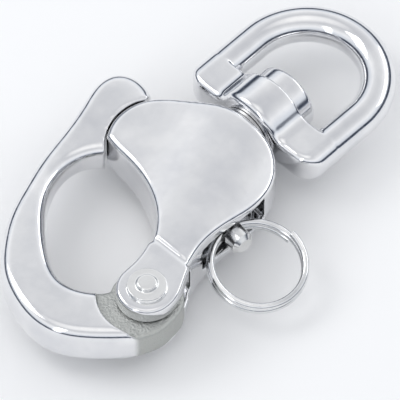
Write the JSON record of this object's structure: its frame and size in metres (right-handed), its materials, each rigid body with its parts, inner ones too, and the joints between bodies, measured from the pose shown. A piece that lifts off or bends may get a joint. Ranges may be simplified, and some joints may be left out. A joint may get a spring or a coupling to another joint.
{
  "type": "swivel snap shackle",
  "caption": "Stainless snap shackle: hinged hook locked by a spring plunger with a pull ring, and a D-shaped bail that turns on a stud.",
  "frame": {"origin": "middle of the bounding box with the hook closed", "axes": "+X along the swivel axis from the body towards the bail, +Y from the pull ring towards the locked hook tip, +Z through the thickness"},
  "size_m": [0.0868, 0.0533, 0.0148],
  "materials": {
    "body": "polished",
    "hook": "polished",
    "hinge_pin": "polished",
    "plunger": "polished",
    "plunger_spring": "drawn",
    "split_ring": "polished",
    "swivel_stud": "polished",
    "thrust_washer": "drawn",
    "swivel_bail": "polished"
  },
  "bodies": {
    "body": {"body": "body", "hinge_pin": "hinge_pin", "swivel_stud": "swivel_stud", "thrust_washer": "thrust_washer", "plunger_spring": "plunger_spring"},
    "hook": {"hook": "hook"},
    "plunger": {"plunger": "plunger"},
    "ring": {"split_ring": "split_ring"},
    "bail": {"swivel_bail": "swivel_bail"}
  },
  "joints": [
    {"name": "hook_open", "type": "hinge", "parent": "body", "child": "hook", "pos_m": [-0.02622, -0.01116, 0], "axis": [0, 0, 1], "range_deg": [0, 100]},
    {"name": "plunger_pull", "type": "slide", "parent": "body", "child": "plunger", "axis": [-0.1392, -0.9903, 0], "range_m": [0, 0.004], "stiffness_N_per_m": 600, "springref_m": -0.003, "deforming": ["plunger_spring"]},
    {"name": "ring_flip", "type": "hinge", "parent": "plunger", "child": "ring", "pos_m": [-0.00473, -0.00994, 0], "axis": [0.9903, -0.1392, 0], "range_deg": [-26, 1]},
    {"name": "bail_swivel", "type": "hinge", "parent": "body", "child": "bail", "pos_m": [0.01548, 0.00254, 0], "axis": [1, 0, 0], "continuous": true}
  ]
}
